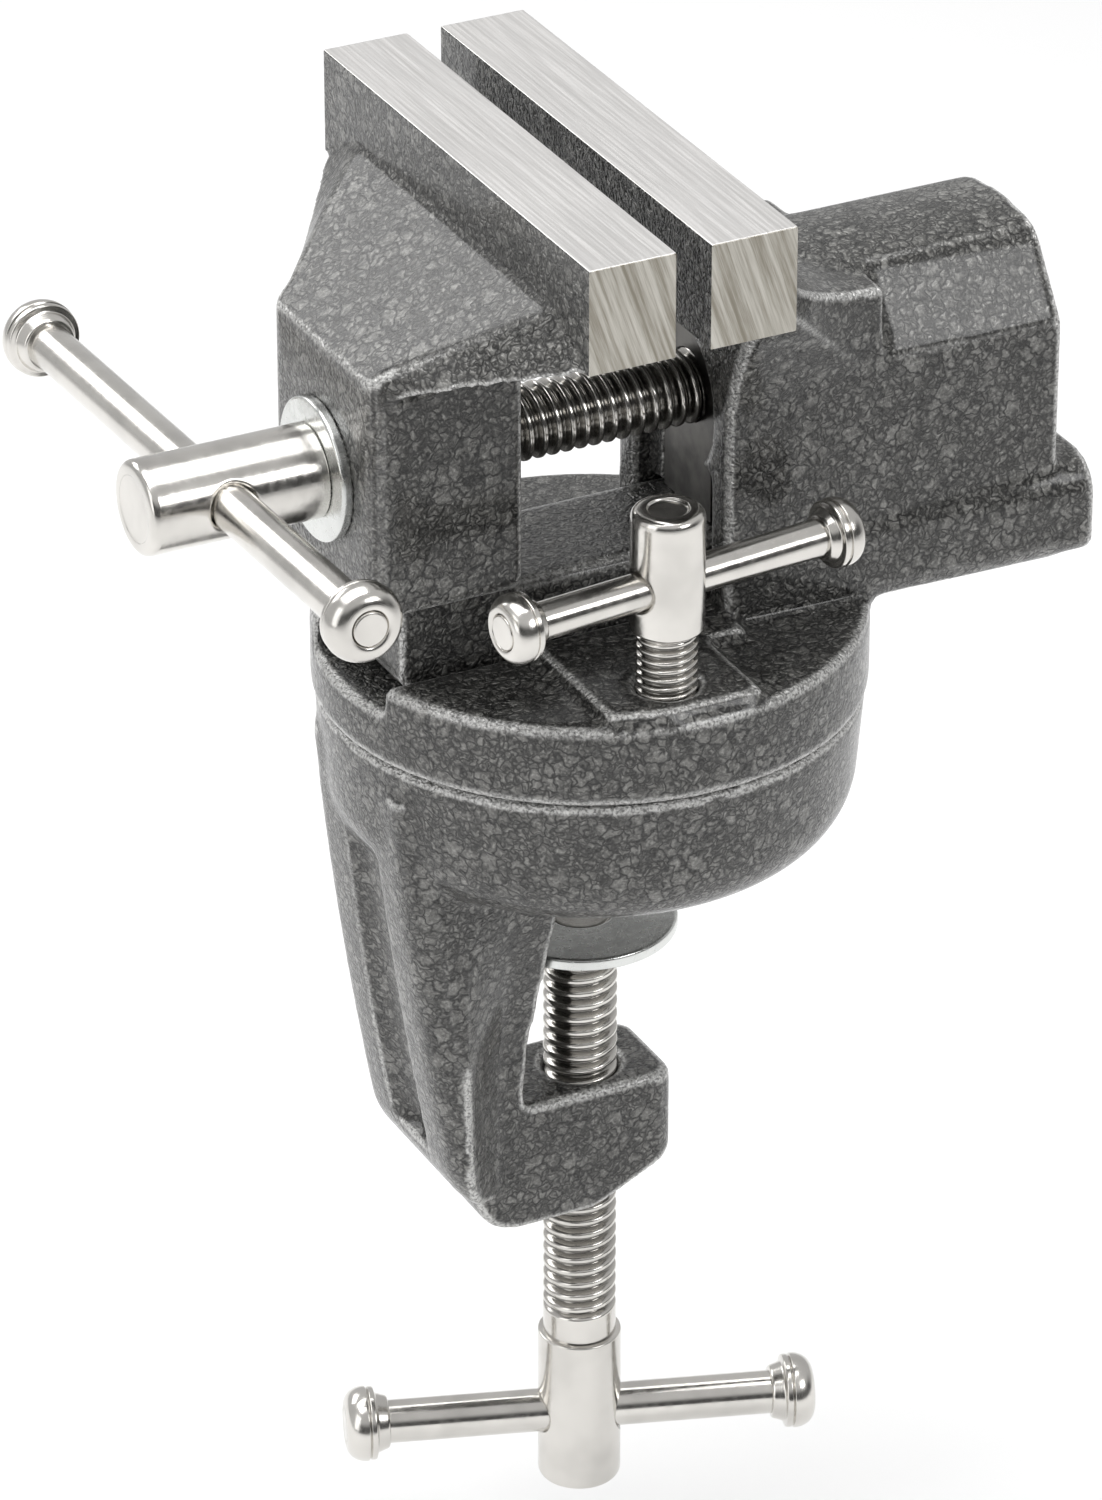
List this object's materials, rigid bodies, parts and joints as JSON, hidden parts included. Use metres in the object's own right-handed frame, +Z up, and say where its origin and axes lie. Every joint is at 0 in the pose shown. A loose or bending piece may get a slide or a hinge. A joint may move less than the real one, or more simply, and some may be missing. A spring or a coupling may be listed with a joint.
{
  "type": "clamp-on bench vise",
  "caption": "Small clamp-on bench vise: long ground jaws driven by a screw, a swivel disc with a locking screw, and a table clamp, each turned by a sliding T handle.",
  "frame": {"origin": "where the swivel axis meets the underside of the base, the face that stands on the table", "axes": "+X along the main screw from its handle towards the tail, +Y across the jaws, +Z up"},
  "size_m": [0.1293, 0.1031, 0.2027],
  "materials": {
    "hammertone": "dark grey hammertone paint on cast iron, jaw tops and ends ground bright",
    "plated": "nickel plated, softly polished",
    "zinc": "zinc plated steel",
    "dark_steel": "oiled steel"
  },
  "bodies": {
    "clamp_base": {"clamp_frame": "hammertone", "swivel_bolt": "zinc"},
    "swivel_body": {"fixed_jaw_body": "hammertone", "main_nut": "dark_steel", "nut_grub_screw": "dark_steel", "swivel_washer": "zinc"},
    "jaw_slide": {"moving_jaw": "hammertone"},
    "screw_spindle": {"main_screw": "plated", "thrust_washer": "zinc", "retaining_ring": "dark_steel"},
    "main_handle": {"main_bar": "plated", "main_knob_near": "plated", "main_knob_far": "plated"},
    "lock_spindle": {"lock_screw": "plated"},
    "lock_handle": {"lock_bar": "plated", "lock_knob_left": "plated", "lock_knob_right": "plated"},
    "pad": {"clamp_pad": "zinc"},
    "clamp_spindle": {"clamp_screw": "plated"},
    "clamp_handle": {"clamp_bar": "plated", "clamp_knob_left": "plated", "clamp_knob_right": "plated"}
  },
  "joints": [
    {"name": "swivel", "type": "hinge", "parent": "clamp_base", "child": "swivel_body", "pos_m": [0, 0, 0], "axis": [0, 0, 1], "continuous": true},
    {"name": "jaw_travel", "type": "slide", "parent": "swivel_body", "child": "jaw_slide", "axis": [1, 0, 0], "range_m": [-0.034, 0.0047]},
    {"name": "screw_turn", "type": "hinge", "parent": "jaw_slide", "child": "screw_spindle", "pos_m": [-0.05305, 0, 0.0598], "axis": [1, 0, 0], "range_deg": [-6122, 847]},
    {"name": "main_handle_slide", "type": "slide", "parent": "screw_spindle", "child": "main_handle", "axis": [0, 0.9992, -0.0401], "range_m": [-0.0448, 0.0327]},
    {"name": "lock_turn", "type": "hinge", "parent": "swivel_body", "child": "lock_spindle", "pos_m": [-0.0034, -0.028, 0.0481], "axis": [0, 0, 1], "range_deg": [-22, 10]},
    {"name": "lock_handle_slide", "type": "slide", "parent": "lock_spindle", "child": "lock_handle", "axis": [-0.9945, -0.1045, 0], "range_m": [-0.013, 0.016]},
    {"name": "pad_travel", "type": "slide", "parent": "clamp_base", "child": "pad", "axis": [0, 0, 1], "range_m": [-0.0175, 0.0145]},
    {"name": "clamp_turn", "type": "hinge", "parent": "pad", "child": "clamp_spindle", "pos_m": [-0.0013, 0, -0.0937], "axis": [0, 0, 1], "range_deg": [-3155, 2615]},
    {"name": "clamp_handle_slide", "type": "slide", "parent": "clamp_spindle", "child": "clamp_handle", "axis": [0.9461, -0.3239, 0], "range_m": [-0.0205, 0.0205]}
  ],
  "couplings": [
    {"joint": "screw_turn", "follows": "jaw_travel", "rad_per_m": 3141.6},
    {"joint": "clamp_turn", "follows": "pad_travel", "rad_per_m": 3141.6}
  ]
}
